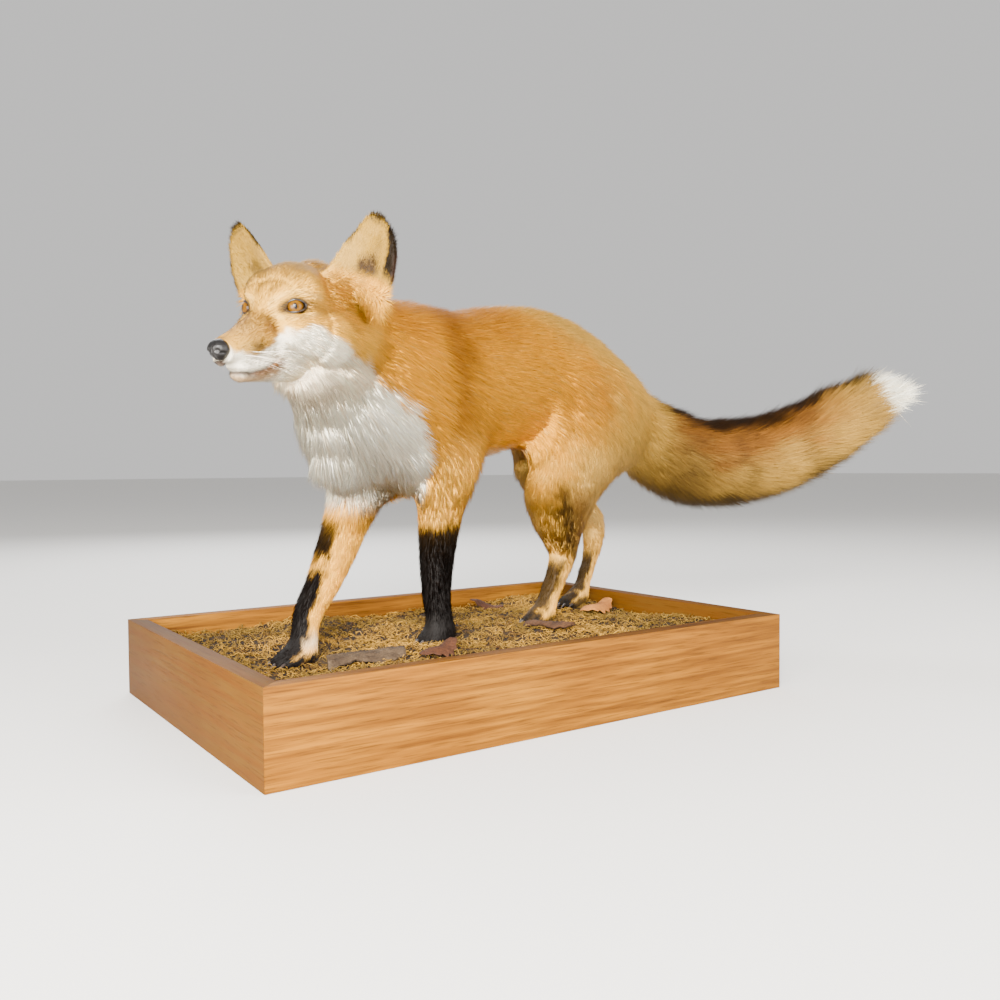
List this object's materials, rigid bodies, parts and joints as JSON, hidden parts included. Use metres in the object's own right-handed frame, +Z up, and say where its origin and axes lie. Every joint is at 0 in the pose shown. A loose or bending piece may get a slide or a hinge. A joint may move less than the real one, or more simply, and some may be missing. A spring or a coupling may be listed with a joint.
{
  "type": "taxidermy red fox on a tray base",
  "caption": "Standing stuffed red fox, head turned to its left and tail lifted, on an open oak tray base filled with moss, bark and leaves.",
  "frame": {"origin": "middle of the tray base's flat underside, on the surface that it stands on", "axes": "+X along the tray's long side, towards the fox's tail; +Y towards the tray's far side, which is the fox's right; +Z up"},
  "size_m": [1.0486, 0.444, 0.5227],
  "materials": {
    "oak": "honey-coloured satin varnish over open grain",
    "panel": "bare plywood, seen only from below",
    "moss": "dry curled moss, straw gold and olive",
    "bark": "weathered grey bark, rough",
    "leaf": "dry crumpled leaf, matt",
    "fur_tan": "short to medium fur, golden tan",
    "fur_orange": "medium fur, rust orange with pale under-coat",
    "fur_cream": "long soft fur, cream white",
    "fur_black": "short fur, brown black",
    "eye": "glass eye, amber iris with a slit pupil, wet gloss",
    "nose": "black nose leather, half gloss, pebbled"
  },
  "bodies": {
    "root": {"board_near": "oak", "board_tail_end": "oak", "board_far": "oak", "board_head_end": "oak", "deck": "panel", "moss_bed": "moss", "bark_near": "bark", "bark_mid": "bark", "leaf_near": "leaf", "leaf_mid": "leaf", "leaf_far": "leaf", "head": "fur_tan", "nose": "nose", "eye_left": "eye", "eye_right": "eye", "ear_left": "fur_black", "ear_right": "fur_black", "neck": "fur_orange", "trunk": "fur_orange", "leg_front_left": "fur_tan", "leg_front_right": "fur_tan", "leg_hind_left": "fur_orange", "leg_hind_right": "fur_orange", "paw_front_left": "fur_black", "paw_front_right": "fur_black", "paw_hind_left": "fur_black", "paw_hind_right": "fur_black", "tail_root": "fur_tan", "tail_middle": "fur_orange", "tail_tip": "fur_cream"}
  },
  "joints": []
}
